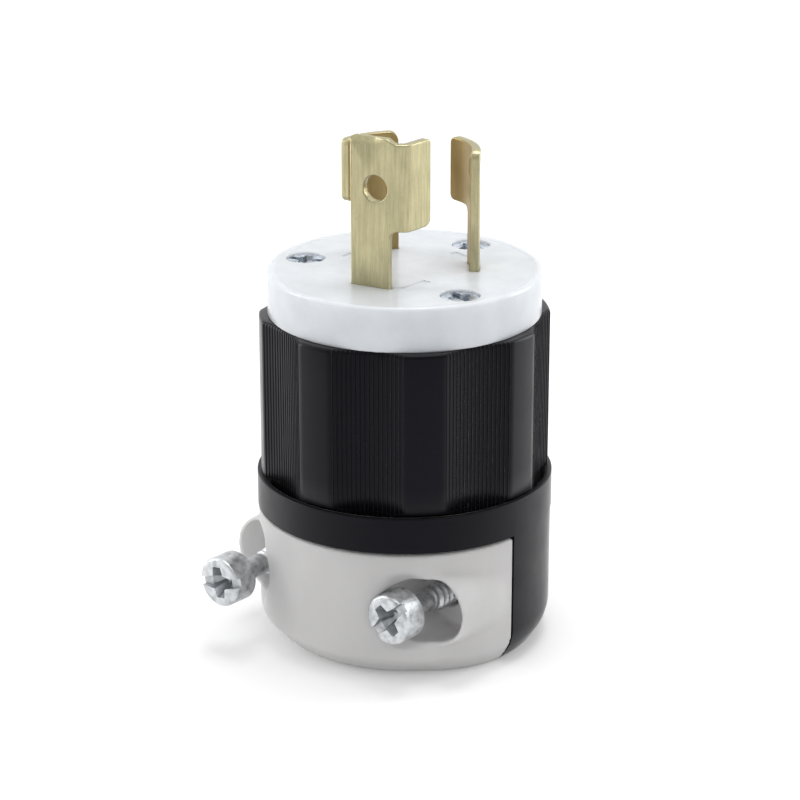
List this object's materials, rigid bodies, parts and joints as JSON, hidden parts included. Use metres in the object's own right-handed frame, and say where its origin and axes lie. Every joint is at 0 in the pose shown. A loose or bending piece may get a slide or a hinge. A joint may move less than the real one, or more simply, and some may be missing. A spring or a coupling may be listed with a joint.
{
  "type": "locking power plug",
  "caption": "Locking power plug with hooked blades on a round nylon face, a ribbed black grip shell and a screwed cord clamp at the rear.",
  "frame": {"origin": "on the plug's axis, in the base plane of the cord end", "axes": "+Z along the plug's axis towards the blades; -Y the side of the clamp jaw and of the clamp screw heads"},
  "size_m": [0.0366, 0.0398, 0.0649],
  "materials": {
    "white_nylon": "satin translucent nylon",
    "jaw_nylon": "satin natural nylon",
    "black_nylon": "satin moulded nylon",
    "blade_brass": "pale rolled brass",
    "zinc_steel": "bright zinc plate",
    "clamp_steel": "zinc plate",
    "screw_brass": "turned brass",
    "screw_silver": "nickel plate",
    "screw_green": "green passivated"
  },
  "bodies": {
    "plug": {"face_plate": "white_nylon", "terminal_block": "white_nylon", "grip_shell": "black_nylon", "rear_cover": "black_nylon", "clamp_screw_left": "zinc_steel", "clamp_screw_right": "zinc_steel", "line_blade": "blade_brass", "neutral_blade": "blade_brass", "ground_blade": "blade_brass", "assembly_screw_1": "zinc_steel", "assembly_screw_2": "zinc_steel", "assembly_screw_3": "zinc_steel", "line_wire_clamp": "clamp_steel", "neutral_wire_clamp": "clamp_steel", "ground_wire_clamp": "clamp_steel", "line_terminal_screw": "screw_brass", "neutral_terminal_screw": "screw_silver", "ground_terminal_screw": "screw_green"},
    "jaw": {"clamp_jaw": "jaw_nylon"}
  },
  "joints": [
    {"name": "jaw_slide", "type": "slide", "parent": "plug", "child": "jaw", "axis": [0, -1, 0], "range_m": [0, 0.0076]}
  ]
}
